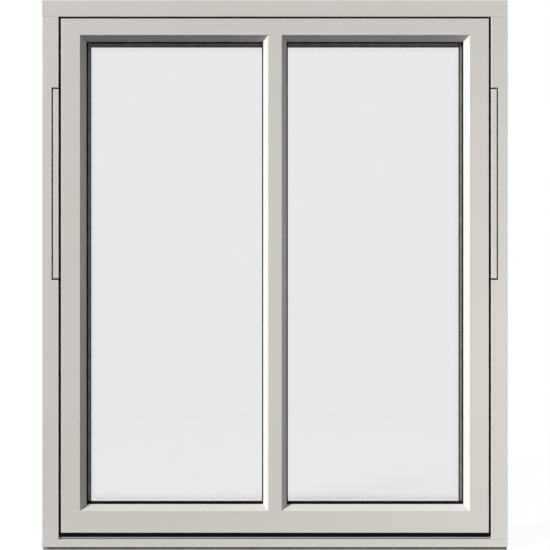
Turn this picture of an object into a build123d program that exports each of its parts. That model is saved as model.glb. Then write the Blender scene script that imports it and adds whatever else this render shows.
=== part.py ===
"""Reversible pivot window, triple glazed, in a painted timber frame.

One sash with a central mullion hangs in a rebated frame on a pair of pivot arms,
which lie in pockets in the jambs behind painted cover strips. Millimetres.
+Z is up, -Y is outdoors, and the origin is the middle of the sill's underside.
"""

import os

from build123d import *

# Frame
frame_width = 1090.0
frame_height = 1290.0
frame_depth = 105.0
jamb_face = 38.45
head_face = 38.7
sill_face = 18.2
sill_fall = 8.0
stop_cover = 13.0
arris = 0.8
foot_chamfer = 1.2

# Rebate under the sill's front edge, which takes the metal flashing
flashing_rebate_height = 8.8
flashing_rebate_depth = 8.0

# Drip slot along the sill's front edge, under the nose of its sloping top
drip_slot_height = 3.0
drip_slot_depth = 10.0
drip_slot_setback = 1.5
sill_nose = 0.6

# Groove round the outside of the frame for the wall's lining boards
lining_groove_width = 10.0
lining_groove_depth = 8.0
lining_groove_setback = 12.0

# Running gaps round the closed sash
side_gap = 5.6
head_gap = 4.4
sill_gap = 15.8
seal_gap = 5.0

# Sash
stile_face = 44.4
top_rail_face = 38.5
bottom_rail_face = 51.2
mullion_face = 31.4
bevel_width = 11.8
bevel_depth = 14.0
lip_nose = 2.0
glass_rebate = 20.0
bottom_drop = 8.0
sash_arris = 0.8
drip_width = 6.0
drip_depth = 5.0
drip_setback = 10.0

# Sealed glass units
glass_thickness = 4.0
cavity = 14.0
glass_cover = 16.0
outer_gasket = 3.0
inner_gasket = 2.0
gasket_nose = 2.6
inner_gasket_nose = 0.5
bottom_gasket_rise = 4.0
top_gasket_lift = 2.2
spacer_nose = 3.2
gasket_seat = 12.0

# Room-side glazing beads
bead_depth = 13.0
bead_chamfer = 6.0

# Weather seal between the sash and the stop
seal_width = 8.0
seal_setback = 2.0
seal_round = 1.5

# Rain seal in the running gap, just behind the outdoor face
rain_seal_setback = 2.5
rain_seal_depth = 6.0
rain_seal_clearance = 0.4
rain_seal_lift = 6.0

# Pivot fittings
pocket_height = 450.8
pocket_below_centre = 10.2
pocket_width = 16.6
pocket_depth = 30.0
cover_width = 12.9
cover_depth = 8.0
cover_end_gap = 3.8
cover_arris = 0.6
arm_thickness = 9.0
arm_width = 18.0
pin_radius = 5.0
frame_pin_length = 12.0
sash_pin_length = 20.0

# Frame screws
screw_radius = 5.0
screw_inset = 190.0
screw_depth = 45.0

# Handle on the room side of the bottom rail
plate_length = 66.0
plate_height = 19.0
plate_thickness = 9.0
plate_round = 2.5
neck_radius = 7.0
neck_length = 30.0
lever_length = 122.0
lever_height = 18.0
lever_thickness = 12.0
lever_round = 4.5

# Places worked out from the sizes above
half_width = frame_width / 2
outdoors = -frame_depth / 2
stop_reach = side_gap + stop_cover
sill_front_top = flashing_rebate_height + sill_face
head_underside = frame_height - head_face
groove_back = frame_depth - lining_groove_setback
groove_front = groove_back - lining_groove_width

sash_half = half_width - jamb_face - side_gap
sash_bottom = sill_front_top + sill_gap
sash_top = head_underside - head_gap
sash_height = sash_top - sash_bottom

lip_depth = bevel_depth + lip_nose
unit_thickness = 3 * glass_thickness + 2 * cavity
unit_front = lip_depth + outer_gasket
unit_back = unit_front + unit_thickness
bead_front = unit_back + inner_gasket
sash_depth = bead_front + bead_depth
rebate_depth = sash_depth + seal_gap

light_bottom = sash_bottom + bottom_rail_face + bevel_width
light_top = sash_top - top_rail_face - bevel_width
light_outer = sash_half - stile_face - bevel_width
light_inner = mullion_face / 2 + bevel_width
rail_room_edge = light_bottom - glass_rebate - bottom_drop

pivot_height = (sash_bottom + sash_top) / 2
sash_pin_height = pivot_height + sash_height / 4
pocket_bottom = frame_height / 2 - pocket_below_centre

SIDES = (("left", -1), ("right", 1))


def at_depth(depth):
    """Y of a point this far in from the frame's outdoor face."""
    return outdoors + depth


def light_rectangle(side, margin, drop=0.0, top_drop=0.0):
    """Corners (x0, z0, x1, z1) of one glazed light, grown by margin, with its ends lowered."""
    x0, x1 = sorted((side * light_inner, side * light_outer))
    return x0 - margin, light_bottom - drop - margin, x1 + margin, light_top - top_drop + margin


def upright_plane(depth):
    """Plane facing outdoors at this depth, with X across the window and Y up."""
    return Plane((0, at_depth(depth), 0), x_dir=(1, 0, 0), z_dir=(0, -1, 0))


def section_plane(x):
    """Vertical plane across the window's depth at this x, with X inwards and Y up."""
    return Plane((x, 0, 0), x_dir=(0, 1, 0), z_dir=(1, 0, 0))


os.makedirs("parts", exist_ok=True)


def save(part, name):
    """Labels a finished piece and writes it as its own file."""
    part.label = name
    export_step(part, f"parts/{name}.step")


# Frame head: runs the full width, with the stop along its room side
with BuildPart() as frame_head:
    with BuildSketch(section_plane(-half_width)) as head_section:
        stop_edge = head_underside - head_gap - stop_cover
        with BuildLine():
            Polyline(
                (at_depth(0), head_underside),
                (at_depth(0), frame_height),
                (at_depth(groove_front), frame_height),
                (at_depth(groove_front), frame_height - lining_groove_depth),
                (at_depth(groove_back), frame_height - lining_groove_depth),
                (at_depth(groove_back), frame_height),
                (at_depth(frame_depth), frame_height),
                (at_depth(frame_depth), stop_edge),
                (at_depth(rebate_depth), stop_edge),
                (at_depth(rebate_depth), head_underside),
                close=True,
            )
        make_face()
        fillet(head_section.vertices().group_by(Axis.X)[0], arris)
    extrude(amount=frame_width)
save(frame_head.part, "frame_head")

# Frame sill: falls outwards, with a flashing rebate under its front edge
with BuildPart() as frame_sill:
    with BuildSketch(section_plane(-half_width)) as sill_section:
        slot_top = sill_front_top + drip_slot_height
        with BuildLine():
            Polyline(
                (at_depth(0), flashing_rebate_height),
                (at_depth(0), sill_front_top),
                (at_depth(drip_slot_setback + drip_slot_depth), sill_front_top),
                (at_depth(drip_slot_setback + drip_slot_depth), slot_top),
                (at_depth(drip_slot_setback), slot_top),
                (at_depth(drip_slot_setback), slot_top + sill_nose),
                (at_depth(rebate_depth), slot_top + sill_nose + sill_fall),
                (at_depth(rebate_depth), sash_bottom + stop_cover),
                (at_depth(frame_depth), sash_bottom + stop_cover),
                (at_depth(frame_depth), 0),
                (at_depth(flashing_rebate_depth), 0),
                (at_depth(flashing_rebate_depth), flashing_rebate_height),
                close=True,
            )
        make_face()
        fillet(sill_section.vertices().group_by(Axis.X)[0], arris)
    extrude(amount=frame_width)
save(frame_sill.part, "frame_sill")

# Pivot arms: a steel bar in each jamb pocket, pinned to the jamb and to the sash
pivot_arms = {}
for name, side in SIDES:
    arm_outer = half_width - jamb_face + cover_width
    arm_inner = arm_outer - arm_thickness
    arm_depth = cover_depth + arm_width / 2
    arm_span = sash_pin_height - pivot_height
    with BuildPart() as pivot_arm:
        with BuildSketch(section_plane(side * arm_inner)):
            with Locations((at_depth(arm_depth), pivot_height + arm_span / 2)):
                SlotCenterToCenter(arm_span, arm_width, rotation=90)
        extrude(amount=side * arm_thickness)
        with BuildSketch(section_plane(side * arm_outer)):
            with Locations((at_depth(arm_depth), pivot_height)):
                Circle(pin_radius)
        extrude(amount=side * frame_pin_length)
        with BuildSketch(section_plane(side * arm_inner)):
            with Locations((at_depth(arm_depth), sash_pin_height)):
                Circle(pin_radius)
        extrude(amount=side * (sash_half - sash_pin_length - arm_inner))
    pivot_arms[name] = pivot_arm
    save(pivot_arm.part, f"{name}_pivot_arm")

# Jambs: stand between head and sill, with a pocket for the pivot arm and screw holes
for name, side in SIDES:
    rebate_x = side * (half_width - jamb_face)
    with BuildPart() as jamb:
        with BuildSketch(Plane.XY.offset(sill_front_top)):
            groove_floor = side * (half_width - lining_groove_depth)
            with BuildLine():
                Polyline(
                    (side * half_width, at_depth(0)),
                    (side * half_width, at_depth(groove_front)),
                    (groove_floor, at_depth(groove_front)),
                    (groove_floor, at_depth(groove_back)),
                    (side * half_width, at_depth(groove_back)),
                    (side * half_width, at_depth(frame_depth)),
                    (rebate_x - side * stop_reach, at_depth(frame_depth)),
                    (rebate_x - side * stop_reach, at_depth(rebate_depth)),
                    (rebate_x, at_depth(rebate_depth)),
                    (rebate_x, at_depth(0)),
                    close=True,
                )
            make_face()
        extrude(amount=head_underside - sill_front_top)
        front_edges = jamb.faces().sort_by(Axis.Y)[0].edges()
        chamfer(front_edges.filter_by(Axis.X).sort_by(Axis.Z)[0], foot_chamfer)
        front_edges = jamb.faces().sort_by(Axis.Y)[0].edges()
        fillet(front_edges.filter_by(Axis.Z), arris)
        add(frame_head.part, mode=Mode.SUBTRACT)
        with BuildSketch(upright_plane(0)):
            with Locations((rebate_x, pocket_bottom + pocket_height / 2)):
                Rectangle(2 * pocket_width, pocket_height)
        extrude(amount=-pocket_depth, mode=Mode.SUBTRACT)
        with BuildSketch(section_plane(rebate_x)):
            for screw_height in (screw_inset, frame_height - screw_inset):
                with Locations((at_depth(screw_depth), screw_height)):
                    Circle(screw_radius)
        extrude(amount=side * jamb_face, mode=Mode.SUBTRACT)
        add(frame_sill.part, mode=Mode.SUBTRACT)
        add(pivot_arms[name].part, mode=Mode.SUBTRACT)
    save(jamb.part, f"frame_{name}_jamb")

# Cover strips: painted bars on the pivot arms that close the pockets flush
for name, side in SIDES:
    cover_x = side * (half_width - jamb_face + cover_width / 2)
    cover_height = pocket_height - 2 * cover_end_gap
    with BuildPart() as cover:
        with Locations((cover_x, at_depth(cover_depth / 2), pocket_bottom + pocket_height / 2)):
            Box(cover_width, cover_depth, cover_height)
        fillet(cover.faces().sort_by(Axis.Y)[0].edges(), cover_arris)
    save(cover.part, f"{name}_pivot_cover")

# Weather seal: one ring pressed between the sash and the stop
with BuildPart() as weather_seal:
    with BuildSketch(upright_plane(sash_depth)):
        with Locations((0, (sash_bottom + sash_top) / 2)):
            Rectangle(2 * (sash_half - seal_setback), sash_height - 2 * seal_setback)
            inner_inset = seal_setback + seal_width
            Rectangle(
                2 * (sash_half - inner_inset),
                sash_height - 2 * inner_inset,
                mode=Mode.SUBTRACT,
            )
    extrude(amount=-seal_gap)
    fillet(weather_seal.edges().filter_by(Axis.Y), seal_round)
save(weather_seal.part, "weather_seal")

# Rain seal: a lip round the sash's edges that fills the running gap behind the outdoor face
with BuildPart() as rain_seal:
    with BuildSketch(upright_plane(rain_seal_setback)):
        lip_top = head_underside - rain_seal_clearance
        lip_bottom = sill_front_top + rain_seal_lift
        with Locations((0, (lip_bottom + lip_top) / 2)):
            Rectangle(2 * (sash_half + side_gap - rain_seal_clearance), lip_top - lip_bottom)
        with Locations((0, pivot_height)):
            Rectangle(2 * sash_half, sash_height, mode=Mode.SUBTRACT)
    extrude(amount=-rain_seal_depth)
save(rain_seal.part, "rain_seal")

# Sash stiles: full height, bevelled towards the glass, with the rebate behind the lip
stiles = {}
for name, side in SIDES:
    nose = side * light_outer
    with BuildPart() as stile:
        with BuildSketch(Plane.XY.offset(sash_bottom)):
            with BuildLine():
                Polyline(
                    (side * sash_half, at_depth(0)),
                    (side * (sash_half - stile_face), at_depth(0)),
                    (nose, at_depth(bevel_depth)),
                    (nose, at_depth(lip_depth)),
                    (nose + side * glass_rebate, at_depth(lip_depth)),
                    (nose + side * glass_rebate, at_depth(sash_depth)),
                    (side * sash_half, at_depth(sash_depth)),
                    close=True,
                )
            make_face()
        extrude(amount=sash_height)
        front = stile.faces().sort_by(Axis.Y)[0]
        ends = front.edges().filter_by(Axis.X)
        outer_edge = front.edges().filter_by(Axis.Z).sort_by(Axis.X)[0 if side < 0 else -1]
        fillet([*ends, outer_edge], sash_arris)
        add(pivot_arms[name].part, mode=Mode.SUBTRACT)
    stiles[name] = stile
    save(stile.part, f"sash_{name}_stile")

# Sash rails: scribed between the stiles, so that the bevels meet in a mitre
rails = {}
RAILS = (
    ("top", 1, sash_top, light_top, glass_rebate),
    ("bottom", -1, sash_bottom, light_bottom, glass_rebate + bottom_drop),
)
for name, up, edge, nose, rebate in RAILS:
    face_edge = nose + up * bevel_width
    with BuildPart() as rail:
        with BuildSketch(section_plane(-light_outer - glass_rebate)) as rail_section:
            with BuildLine():
                Polyline(
                    (at_depth(0), edge),
                    (at_depth(0), face_edge),
                    (at_depth(bevel_depth), nose),
                    (at_depth(lip_depth), nose),
                    (at_depth(lip_depth), nose + up * rebate),
                    (at_depth(sash_depth), nose + up * rebate),
                    (at_depth(sash_depth), edge),
                    close=True,
                )
            make_face()
            front_corners = rail_section.vertices().group_by(Axis.X)[0]
            fillet(front_corners.sort_by(Axis.Y)[-1 if up > 0 else 0], sash_arris)
        extrude(amount=2 * (light_outer + glass_rebate))
        if name == "bottom":
            with Locations((0, at_depth(drip_setback + drip_width / 2), sash_bottom)):
                Box(frame_width, drip_width, 2 * drip_depth, mode=Mode.SUBTRACT)
        for stile in stiles.values():
            add(stile.part, mode=Mode.SUBTRACT)
    rails[name] = rail
    save(rail.part, f"sash_{name}_rail")

# Mullion: the upright bar between the two lights, scribed over both rails
with BuildPart() as mullion:
    with BuildSketch(Plane.XY.offset(rail_room_edge)):
        core = light_inner - glass_rebate
        with BuildLine():
            Polyline(
                (-mullion_face / 2, at_depth(0)),
                (mullion_face / 2, at_depth(0)),
                (light_inner, at_depth(bevel_depth)),
                (light_inner, at_depth(lip_depth)),
                (core, at_depth(lip_depth)),
                (core, at_depth(sash_depth)),
                (-core, at_depth(sash_depth)),
                (-core, at_depth(lip_depth)),
                (-light_inner, at_depth(lip_depth)),
                (-light_inner, at_depth(bevel_depth)),
                close=True,
            )
        make_face()
    extrude(amount=light_top + glass_rebate - rail_room_edge)
    for rail in rails.values():
        add(rail.part, mode=Mode.SUBTRACT)
save(mullion.part, "sash_mullion")


def ring(depth, thickness, outside, inside):
    """Flat rectangular ring at this depth between two rectangles given by their corners."""
    x0, z0, x1, z1 = outside
    a0, c0, a1, c1 = inside
    with BuildPart() as made:
        with BuildSketch(upright_plane(depth)):
            with Locations(((x0 + x1) / 2, (z0 + z1) / 2)):
                Rectangle(x1 - x0, z1 - z0)
            with Locations(((a0 + a1) / 2, (c0 + c1) / 2)):
                Rectangle(a1 - a0, c1 - c0, mode=Mode.SUBTRACT)
        extrude(amount=-thickness)
    return made.part


# Sealed units: three sheets of glass kept apart by spacer rings, held between gaskets
for name, side in SIDES:
    unit_edge = light_rectangle(side, glass_cover, bottom_drop)
    x0, z0, x1, z1 = unit_edge
    for step, sheet in enumerate(("outer", "middle", "inner")):
        sheet_front = unit_front + step * (glass_thickness + cavity)
        with BuildPart() as glass:
            with BuildSketch(upright_plane(sheet_front)):
                with Locations(((x0 + x1) / 2, (z0 + z1) / 2)):
                    Rectangle(x1 - x0, z1 - z0)
            extrude(amount=-glass_thickness)
        save(glass.part, f"{name}_{sheet}_glass")
    for step, place in enumerate(("outer", "inner")):
        spacer_front = unit_front + glass_thickness + step * (glass_thickness + cavity)
        spacer_sight = light_rectangle(side, -spacer_nose, bottom_drop + spacer_nose)
        save(ring(spacer_front, cavity, unit_edge, spacer_sight), f"{name}_{place}_spacer")
    outer_seat = light_rectangle(side, gasket_seat - gasket_nose)
    outer_sight = light_rectangle(side, -gasket_nose, -bottom_gasket_rise, -top_gasket_lift)
    save(ring(lip_depth, outer_gasket, outer_seat, outer_sight), f"{name}_outer_gasket")
    inner_seat = light_rectangle(side, gasket_seat - inner_gasket_nose, bottom_drop)
    inner_sight = light_rectangle(side, -inner_gasket_nose, bottom_drop)
    save(ring(unit_back, inner_gasket, inner_seat, inner_sight), f"{name}_inner_gasket")

# Glazing beads: mitred bars that hold each unit from the room side
for name, side in SIDES:
    x0, z0, x1, z1 = light_rectangle(side, glass_rebate, bottom_drop)
    a0, c0, a1, c1 = light_rectangle(side, 0, bottom_drop)
    bead_corners = {
        "top": ((x0, z1), (x1, z1), (a1, c1), (a0, c1)),
        "bottom": ((x0, z0), (x1, z0), (a1, c0), (a0, c0)),
        "left": ((x0, z0), (x0, z1), (a0, c1), (a0, c0)),
        "right": ((x1, z0), (x1, z1), (a1, c1), (a1, c0)),
    }
    for edge, corners in bead_corners.items():
        with BuildPart() as bead:
            with BuildSketch(upright_plane(bead_front)):
                with BuildLine():
                    Polyline(*corners, close=True)
                make_face()
            extrude(amount=-bead_depth)
            room_edges = bead.faces().sort_by(Axis.Y)[-1].edges()
            sight_edge = room_edges.filter_by(Axis.X if edge in ("top", "bottom") else Axis.Z)
            chamfer(sight_edge.sort_by(SortBy.LENGTH)[0], bead_chamfer)
        save(bead.part, f"{name}_light_{edge}_bead")

# Handle: a plate on the bottom rail with a lever that lies along the rail when shut
handle_height = (sash_bottom + stop_cover + rail_room_edge) / 2
with BuildPart() as handle_plate:
    with BuildSketch(upright_plane(sash_depth)):
        with Locations((0, handle_height)):
            SlotOverall(plate_length, plate_height)
    extrude(amount=-plate_thickness)
    fillet(handle_plate.faces().sort_by(Axis.Y)[-1].edges(), plate_round)
save(handle_plate.part, "handle_plate")

with BuildPart() as handle_lever:
    with BuildSketch(upright_plane(sash_depth + plate_thickness)):
        with Locations((0, handle_height)):
            Circle(neck_radius)
    extrude(amount=-neck_length)
    with BuildSketch(upright_plane(sash_depth + plate_thickness + neck_length)):
        with Locations((lever_length / 2 - lever_height / 2, handle_height)):
            SlotOverall(lever_length, lever_height)
    extrude(amount=-lever_thickness)
    room_face = handle_lever.faces().sort_by(Axis.Y)[-1]
    fillet(room_face.edges(), lever_round)
save(handle_lever.part, "handle_lever")
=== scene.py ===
"""Looks of a reversible pivot window: painted timber, sealed glass, black seals and satin fittings."""

import math

import bmesh
import bpy
from mathutils import Matrix, Vector


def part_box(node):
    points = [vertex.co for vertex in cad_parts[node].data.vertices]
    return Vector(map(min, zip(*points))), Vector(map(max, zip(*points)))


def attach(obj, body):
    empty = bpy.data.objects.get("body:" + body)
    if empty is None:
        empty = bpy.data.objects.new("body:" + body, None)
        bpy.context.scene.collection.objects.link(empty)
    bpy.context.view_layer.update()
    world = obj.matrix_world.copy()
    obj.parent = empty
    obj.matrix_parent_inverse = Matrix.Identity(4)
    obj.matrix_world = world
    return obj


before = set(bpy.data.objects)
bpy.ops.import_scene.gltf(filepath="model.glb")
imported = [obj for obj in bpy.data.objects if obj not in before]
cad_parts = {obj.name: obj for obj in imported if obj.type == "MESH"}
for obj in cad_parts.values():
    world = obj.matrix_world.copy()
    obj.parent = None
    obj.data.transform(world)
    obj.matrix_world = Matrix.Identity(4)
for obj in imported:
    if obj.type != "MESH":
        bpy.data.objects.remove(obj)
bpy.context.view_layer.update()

# Frame: head, jambs and sill.
# Planed pine, jointed at the corners with the head and sill running through, and sprayed with
# several coats of light grey satin paint that let a little of the grain show as a ripple.


class Socket:
    """One output of a shader node. Arithmetic on it adds Math nodes to its material."""

    def __init__(self, tree, socket=None):
        self.tree = tree
        self.socket = socket

    def node(self, kind, settings=None, sockets=None, output=0):
        made = self.tree.nodes.new("ShaderNode" + kind)
        for name, value in (settings or {}).items():
            setattr(made, name, value)
        for name, value in (sockets or {}).items():
            if isinstance(value, Socket):
                self.tree.links.new(value.socket, made.inputs[name])
            else:
                made.inputs[name].default_value = value
        return Socket(self.tree, made.outputs[output] if made.outputs else None)

    def math(self, operation, first, second):
        return self.node("Math", {"operation": operation}, {0: first, 1: second})

    def __add__(self, other):
        return self.math("ADD", self, other)

    def __radd__(self, other):
        return self.math("ADD", other, self)

    def __sub__(self, other):
        return self.math("SUBTRACT", self, other)

    def __rsub__(self, other):
        return self.math("SUBTRACT", other, self)

    def __mul__(self, other):
        return self.math("MULTIPLY", self, other)

    def __rmul__(self, other):
        return self.math("MULTIPLY", other, self)

    def __lt__(self, other):
        return self.math("LESS_THAN", self, other)

    def __gt__(self, other):
        return self.math("GREATER_THAN", self, other)

    def either(self, other):
        """The larger of two masks."""
        return self.math("MAXIMUM", self, other)

    def fraction(self):
        """What is left over the next whole number down."""
        return self.math("FRACT", self, 0.0)

    def axis(self, letter):
        """One of the three coordinates of a position."""
        return self.node("SeparateXYZ", {}, {0: self}, output="XYZ".index(letter))

    def noise(self, waves, detail=3.0):
        """Smooth noise from 0 to 1, with this many waves a metre along X, Y and Z."""
        scaled = self.node("VectorMath", {"operation": "MULTIPLY"}, {0: self, 1: waves})
        return self.node("TexNoise", {}, {"Vector": scaled, "Scale": 1.0, "Detail": detail})

    def blend(self, colour, other):
        """Goes from one colour to another as this mask goes from 0 to 1."""
        return self.node("Mix", {"data_type": "RGBA"}, {0: self, 6: colour, 7: other}, output=2)


def new_finish(name):
    """An empty material, the position on it in metres, and a function that sets its shader."""
    material = bpy.data.materials.new(name)
    material.use_nodes = True
    material.node_tree.nodes.clear()
    start = Socket(material.node_tree)
    place = start.node("TexCoord", output="Object")

    def surface(shader):
        start.node("OutputMaterial", {}, {"Surface": shader})

    return material, place, surface


def display(red, green, blue):
    """Linear colour of an 8-bit display colour."""
    linear = [((value / 255 + 0.055) / 1.055) ** 2.4 for value in (red, green, blue)]
    return (*linear, 1.0)


def dress(material, *nodes):
    """Gives CAD nodes this finish."""
    for node in nodes:
        for material_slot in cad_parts[node].material_slots:
            material_slot.material = material


def painted_timber(name, along, raw_underside=False):
    """Satin grey paint on pine whose grain runs along X or Z; the sill's underside stays raw."""
    material, place, surface = new_finish(name)
    waves = (7, 240, 240) if along == "X" else (240, 240, 7)
    grain = place.noise(waves, detail=4.0)
    cloud = place.noise((2.6, 2.6, 2.6), detail=2.0)
    spray = place.noise((1100, 1100, 1100), detail=1.0)
    shade = cloud * 0.65 + grain * 0.35
    colour = shade.blend(display(200, 197, 190), display(208, 205, 200))
    roughness = cloud * 0.12 + grain * 0.08 + 0.34
    relief = grain * 0.75 + spray * 0.25
    if raw_underside:
        rebate_top = 0.0089
        rebate_back = -0.044
        underside_top = 0.0004
        inside_rebate = (place.axis("Z") < rebate_top) * (place.axis("Y") < rebate_back)
        raw = inside_rebate.either(place.axis("Z") < underside_top)
        figure = place.noise((10, 420, 420), detail=5.0)
        raw_timber = figure.blend(display(118, 122, 110), display(148, 152, 139))
        colour = raw.blend(colour, raw_timber)
        roughness = raw * 0.45 + roughness
    bump = place.node("Bump", {}, {"Strength": 0.12, "Distance": 0.0003, "Height": relief})
    sockets = {"Base Color": colour, "Roughness": roughness, "Normal": bump}
    surface(place.node("BsdfPrincipled", {}, sockets))
    return material


dress(painted_timber("painted_head", "X"), "frame_head")
dress(painted_timber("painted_sill", "X", raw_underside=True), "frame_sill")
painted_upright = painted_timber("painted_upright", "Z")
dress(painted_upright, "frame_left_jamb", "frame_right_jamb")

# Frame sleeves.
# Zinc-plated steel tubes in the jambs' screw holes. The fixing screw is driven through each
# one into the wall, from the rebate behind the opened sash.


def zinc_plate():
    """Bluish zinc plating with the fine spangle and dull patches it takes on."""
    material, place, surface = new_finish("zinc_plate")
    spangle = place.noise((320, 320, 320), detail=4.0)
    dull = place.noise((45, 45, 45), detail=2.0)
    colour = spangle.blend(display(158, 162, 164), display(196, 198, 196))
    bump = place.node("Bump", {}, {"Strength": 0.15, "Distance": 0.0002, "Height": spangle})
    sockets = {
        "Base Color": colour,
        "Metallic": 1.0,
        "Roughness": dull * 0.25 + 0.28,
        "Normal": bump,
    }
    surface(place.node("BsdfPrincipled", {}, sockets))
    return material


def turned(name, rings, placements, segments=40, closed=False):
    """Lathe-turned pieces in one mesh: rings are (radius, height), and a radius may be a function
    of the angle. Each placement is a matrix that puts the piece's axis, Z, where it belongs."""
    mesh = bmesh.new()
    for placement in placements:
        loops = []
        for radius, height in rings:
            loop = []
            for step in range(segments):
                angle = 2 * math.pi * step / segments
                reach = radius(angle) if callable(radius) else radius
                point = Vector((reach * math.cos(angle), reach * math.sin(angle), height))
                loop.append(mesh.verts.new(placement @ point))
            loops.append(loop)
        pairs = list(zip(loops, loops[1:]))
        if closed:
            pairs.append((loops[-1], loops[0]))
        for low, high in pairs:
            for step in range(segments):
                after = (step + 1) % segments
                mesh.faces.new((low[step], low[after], high[after], high[step]))
        if not closed:
            mesh.faces.new(loops[-1])
    bmesh.ops.recalc_face_normals(mesh, faces=mesh.faces)
    data = bpy.data.meshes.new(name)
    mesh.to_mesh(data)
    mesh.free()
    data.shade_smooth()
    data.set_sharp_from_angle(angle=math.radians(35))
    piece = bpy.data.objects.new(name, data)
    bpy.context.collection.objects.link(piece)
    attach(piece, "root")
    return piece


zinc = zinc_plate()
sleeve_bore = 0.0036
sleeve_radius = 0.0049
sleeve_length = 0.0360
sleeve_chamfer = 0.0003
sleeve_end = 0.5435
screw_line = -0.0075
screw_heights = (0.190, 1.100)
sleeve_rings = [
    (sleeve_bore, 0.0),
    (sleeve_radius - sleeve_chamfer, 0.0),
    (sleeve_radius, sleeve_chamfer),
    (sleeve_radius, sleeve_length - sleeve_chamfer),
    (sleeve_radius - sleeve_chamfer, sleeve_length),
    (sleeve_bore, sleeve_length),
]
sleeve_places = []
for side in (-1, 1):
    for height in screw_heights:
        spot = Matrix.Translation((side * sleeve_end, screw_line, height))
        sleeve_places.append(spot @ Matrix.Rotation(-side * math.pi / 2, 4, "Y"))
sleeves = turned("frame_sleeves", sleeve_rings, sleeve_places, closed=True)
sleeves.data.materials.append(zinc)

# Pivot arms and their covers.
# Plated steel bars carry the sash from pins in the jambs. A powder-coated aluminium strip on
# each one closes its pocket in the jamb, in the same grey as the timber.

dress(zinc, "left_pivot_arm", "right_pivot_arm")


def powder_coat():
    """Grey powder coat, a touch smoother than the timber's paint, with its orange peel."""
    material, place, surface = new_finish("powder_coat")
    peel = place.noise((420, 420, 420), detail=2.0)
    cloud = place.noise((6, 6, 6), detail=2.0)
    colour = cloud.blend(display(203, 200, 194), display(210, 207, 202))
    bump = place.node("Bump", {}, {"Strength": 0.2, "Distance": 0.0002, "Height": peel})
    sockets = {"Base Color": colour, "Roughness": cloud * 0.1 + 0.3, "Normal": bump}
    surface(place.node("BsdfPrincipled", {}, sockets))
    return material


dress(powder_coat(), "left_pivot_cover", "right_pivot_cover")

# Seals and glazing gaskets.
# Extruded black synthetic rubber: a rain seal in the running gap, a weather seal pressed between
# the sash and the frame's stop, and a gasket on each face of both sealed units.


def black_rubber():
    """Matt black rubber with a faint bloom of dust and fine lines from the extruder."""
    material, place, surface = new_finish("black_rubber")
    bloom = place.noise((30, 30, 30), detail=3.0)
    skin = place.noise((1500, 1500, 1500), detail=2.0)
    colour = bloom.blend(display(8, 8, 8), display(22, 22, 22))
    bump = place.node("Bump", {}, {"Strength": 0.2, "Distance": 0.0002, "Height": skin})
    sockets = {
        "Base Color": colour,
        "Roughness": bloom * 0.1 + 0.8,
        "Specular IOR Level": 0.04,
        "Normal": bump,
    }
    surface(place.node("BsdfPrincipled", {}, sockets))
    return material


gaskets = [f"{side}_{face}_gasket" for side in ("left", "right") for face in ("outer", "inner")]
dress(black_rubber(), "rain_seal", "weather_seal", *gaskets)

# Sash: stiles, rails and mullion.
# The same painted pine as the frame, bevelled towards the glass on the outdoor face and rebated
# behind it for the sealed units.

dress(painted_upright, "sash_left_stile", "sash_right_stile", "sash_mullion")
dress(painted_timber("painted_rail", "X"), "sash_top_rail", "sash_bottom_rail")

# Sealed units: glass and spacers.
# Three sheets of clear float glass, kept apart by composite bars that are filled with drying
# agent. Every 49 mm along a bar comes a pierced length that lets it breathe. Its holes are
# dots of painted shade, so it looks a little darker.


def clear_glass():
    """Clear float glass. Light from the lamps, and light that has bounced, goes straight through."""
    material, place, surface = new_finish("clear_glass")
    sockets = {
        "Base Color": (0.944, 0.946, 0.944, 1),
        "Roughness": 0.0,
        "IOR": 1.5,
        "Transmission Weight": 1.0,
    }
    pane = place.node("BsdfPrincipled", {}, sockets)
    open_way = place.node("BsdfTransparent", {}, {"Color": (0.9, 0.905, 0.9, 1)})
    bounced_ray = place.node("LightPath", output="Is Diffuse Ray")
    seen_pane = place.node("MixShader", {}, {0: bounced_ray, 1: pane, 2: open_way})
    lamp_ray = place.node("LightPath", output="Is Shadow Ray")
    surface(place.node("MixShader", {}, {0: lamp_ray, 1: seen_pane, 2: open_way}))
    return material


def spacer_composite(name, dark, pale):
    """Chalky composite bar with a pierced length of 24 mm, then a plain one, all along it."""
    material, place, surface = new_finish(name)
    lengths_a_metre = 20.5
    pattern_shift = 0.34
    holes_a_metre = (600, 600, 600)
    hole_reach = 0.28
    chalk = place.noise((90, 90, 90), detail=4.0)
    facing = place.node("NewGeometry", output="Normal").axis("Z")
    level_bar = facing * facing > 0.5
    along = place.axis("X") * level_bar + place.axis("Z") * (1 - level_bar)
    pierced = (along * lengths_a_metre + pattern_shift).fraction() > 0.5
    scaled = place.node("VectorMath", {"operation": "MULTIPLY"}, {0: place, 1: holes_a_metre})
    cells = place.node("TexVoronoi", {}, {"Vector": scaled, "Scale": 1.0, "Randomness": 0.2})
    # Each hole is painted shade: a near-black dot where the hollow bar's inside would lie in shadow.
    painted_hole_shade = (cells < hole_reach) * pierced
    colour = chalk.blend(dark, pale)
    colour = painted_hole_shade.blend(colour, display(16, 16, 16))
    sockets = {"Base Color": colour, "Roughness": chalk * 0.15 + 0.65, "Specular IOR Level": 0.0}
    surface(place.node("BsdfPrincipled", {}, sockets))
    return material


glass = clear_glass()
grey_spacer = spacer_composite("grey_spacer", display(112, 112, 110), display(148, 147, 144))
# The inner bars are the same composite coloured near black: painted shade for the dim channel behind
# the middle sheet.
painted_shade_spacer = spacer_composite("painted_shade_spacer", display(22, 22, 22), display(36, 36, 35))
for side in ("left", "right"):
    dress(glass, f"{side}_outer_glass", f"{side}_middle_glass", f"{side}_inner_glass")
    dress(grey_spacer, f"{side}_outer_spacer")
    dress(painted_shade_spacer, f"{side}_inner_spacer")

# Glazing beads.
# Mitred pine strips that hold each unit from the room side, pinned every 190 mm or so. The pin
# heads are filled and painted over, so they show only as low bumps.

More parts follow.
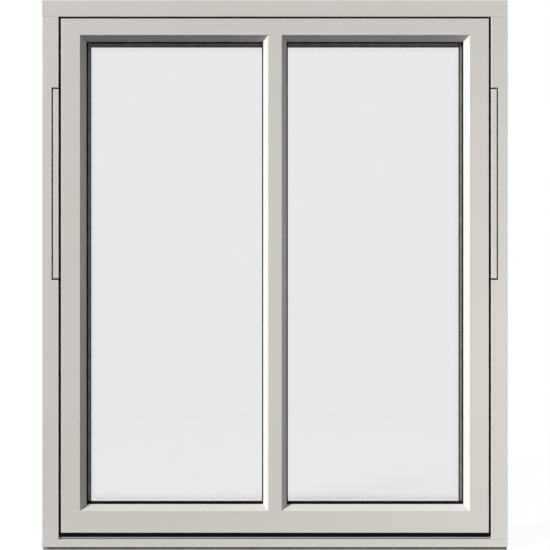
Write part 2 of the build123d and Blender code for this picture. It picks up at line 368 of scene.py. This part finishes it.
painted_bead = painted_timber("painted_bead", "X")
pin_step = 0.19
pin_inset = 0.0065
pin_rings = [(0.0011, 0.0), (0.0009, 0.00018), (0.0005, 0.00026)]
pin_places = []
for side in ("left", "right"):
    for edge in ("top", "bottom", "left", "right"):
        bead = f"{side}_light_{edge}_bead"
        flat = edge in ("top", "bottom")
        dress(painted_bead if flat else painted_upright, bead)
        low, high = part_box(bead)
        run = 0 if flat else 2
        across = 2 if flat else 0
        count = max(2, round((high[run] - low[run]) / pin_step))
        for step in range(count):
            spot = [0.0, high[1], 0.0]
            spot[run] = low[run] + (high[run] - low[run]) * (step + 0.5) / count
            outer = edge in ("top", "right")
            spot[across] = high[across] - pin_inset if outer else low[across] + pin_inset
            turn = Matrix.Rotation(-math.pi / 2, 4, "X")
            pin_places.append(Matrix.Translation(spot) @ turn)
pins = turned("bead_pins", pin_rings, pin_places, segments=12)
pins.data.materials.append(painted_bead)

# Handle.
# A satin anodised aluminium lever on a plate, at the middle of the bottom rail. Two countersunk
# cross-head screws hold the plate.


def satin_aluminium():
    """Anodised aluminium, finely brushed along its length."""
    material, place, surface = new_finish("satin_aluminium")
    brush = place.noise((40, 2600, 2600), detail=3.0)
    cloud = place.noise((25, 25, 25), detail=2.0)
    colour = brush.blend(display(188, 188, 186), display(208, 208, 205))
    bump = place.node("Bump", {}, {"Strength": 0.12, "Distance": 0.0002, "Height": brush})
    sockets = {
        "Base Color": colour,
        "Metallic": 1.0,
        "Roughness": brush * 0.12 + cloud * 0.08 + 0.26,
        "Normal": bump,
    }
    surface(place.node("BsdfPrincipled", {}, sockets))
    return material


dress(satin_aluminium(), "handle_plate", "handle_lever")


def cross_recess(angle):
    """Outline of a screw's cross-shaped recess."""
    arm_reach = 0.0021
    arm_half_angle = 0.21
    middle_reach = 0.0007
    nearest = abs((angle + math.pi / 4) % (math.pi / 2) - math.pi / 4)
    return arm_reach if nearest < arm_half_angle else middle_reach


plate_low, plate_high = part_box("handle_plate")
plate_middle = (Vector(plate_low) + Vector(plate_high)) / 2
screw_rings = [
    (0.0036, 0.0),
    (0.0034, 0.0003),
    (0.0028, 0.0005),
    (cross_recess, 0.0006),
    (lambda angle: cross_recess(angle) * 0.9, -0.0008),
]
screw_offset = 0.0215
screw_sink = 0.0001
screw_places = []
for side in (-1, 1):
    spot = (plate_middle.x + side * screw_offset, plate_high[1] - screw_sink, plate_middle.z)
    stopped_at = 0.4 + side * 0.5
    turn = Matrix.Rotation(-math.pi / 2, 4, "X") @ Matrix.Rotation(stopped_at, 4, "Z")
    screw_places.append(Matrix.Translation(spot) @ turn)
screws = turned("handle_screws", screw_rings, screw_places, segments=64)
screws.data.materials.append(zinc)

# Floor, backdrop and lamps.
# A pale floor and a white surround. The main lamp is high on the left in front, so that bevels
# facing left are bright and those facing right or down are dark. Weaker lamps light the rest.

scene = bpy.context.scene
scene.view_settings.view_transform = "Standard"

floor_half = 30.0
floor_drop = 0.0002
floor_corners = [
    (-floor_half, -floor_half, 0),
    (floor_half, -floor_half, 0),
    (floor_half, floor_half, 0),
    (-floor_half, floor_half, 0),
]
floor_mesh = bpy.data.meshes.new("floor")
floor_mesh.from_pydata(floor_corners, [], [(0, 1, 2, 3)])
floor = bpy.data.objects.new("floor", floor_mesh)
floor.location.z = -floor_drop
bpy.context.collection.objects.link(floor)


def seen_ray(start, behind):
    """1 for rays that show the surround to the camera and 0 for rays that only carry light.
    A reflection shows it white behind the window, and dim on the side the main view is from."""
    camera_ray = start.node("LightPath", output="Is Camera Ray")
    glossy_ray = start.node("LightPath", output="Is Glossy Ray")
    through_ray = start.node("LightPath", output="Is Transmission Ray")
    bounces = start.node("LightPath", output="Diffuse Depth")
    return camera_ray.either(through_ray).either(glossy_ray * behind) * (bounces < 0.5)


pale_floor, floor_place, floor_surface = new_finish("pale_floor")
lit_floor = floor_place.node("BsdfDiffuse", {}, {"Color": (0.86, 0.86, 0.86, 1)})
white_floor = floor_place.node("Emission", {}, {"Color": (1, 1, 1, 1), "Strength": 1.0})
away = floor_place.node("VectorMath", {"operation": "LENGTH"}, {0: floor_place}, output=1)
ramp_ends = {"Value": away, "From Min": 0.4, "From Max": 1.8, "To Min": 0.9, "To Max": 1.0}
white_share = floor_place.node("MapRange", {}, ramp_ends)
shown_floor = floor_place.node("MixShader", {}, {0: white_share, 1: lit_floor, 2: white_floor})
dim_floor = floor_place.node("BsdfDiffuse", {}, {"Color": (0.07, 0.07, 0.07, 1)})
floor_seen = seen_ray(floor_place, floor_place.axis("Y") > -0.2)
floor_surface(floor_place.node("MixShader", {}, {0: floor_seen, 1: dim_floor, 2: shown_floor}))
floor_mesh.materials.append(pale_floor)

world = bpy.data.worlds.new("surround")
scene.world = world
world.use_nodes = True
world.node_tree.nodes.clear()
sky = Socket(world.node_tree)
soft_light = sky.node("Background", {}, {"Color": (1, 1, 1, 1), "Strength": 0.12})
white_surround = sky.node("Background", {}, {"Color": (1, 1, 1, 1), "Strength": 1.0})
sky_seen = seen_ray(sky, sky.node("TexCoord", output="Generated").axis("Y") > -0.1)
shown = sky.node("MixShader", {}, {0: sky_seen, 1: soft_light, 2: white_surround})
sky.node("OutputWorld", {}, {"Surface": shown})


def lamp(name, direction, distance, width, level):
    """Square lamp aimed at the window; level is what it adds to a white face turned to it."""
    window_middle = Vector((0, 0, 0.645))
    data = bpy.data.lights.new(name, "AREA")
    data.size = width
    data.energy = level * math.pi**2 * distance**2
    made = bpy.data.objects.new(name, data)
    towards = Vector(direction).normalized()
    made.location = window_middle + towards * distance
    made.rotation_euler = towards.to_track_quat("Z", "Y").to_euler()
    made.visible_transmission = False
    bpy.context.collection.objects.link(made)
    return made


lamp("main_lamp", (-1.30, -0.81, 0.64), 60.0, 8.0, 1.675)
fill_lamp = lamp("fill_lamp", (1.05, -0.85, -0.225), 1.37, 0.4, 0.16)
# This lamp is so near that the glass would show it as a white square.
fill_lamp.visible_glossy = False
lamp("side_lamp", (1.0, -0.05, 0.10), 12.0, 3.0, 0.16)
lamp("room_lamp", (0.25, 1.0, 0.68), 12.0, 2.0, 0.9)

# Camera.
# Straight in front of the outdoor face at half the window's height, near enough that the
# bevels furthest from the middle look widest.

view_distance = 1.9
view_width = 1.2876
sensor_width = 36.0
outdoor_face = -0.0525
camera_data = bpy.data.cameras.new("camera")
camera_data.sensor_width = sensor_width
camera_data.lens = sensor_width * view_distance / view_width
camera_data.clip_end = 200.0
camera = bpy.data.objects.new("camera", camera_data)
camera.location = (0.0002, outdoor_face - view_distance, 0.6464)
camera.rotation_euler = (math.pi / 2, 0, 0)
bpy.context.collection.objects.link(camera)
scene.camera = camera
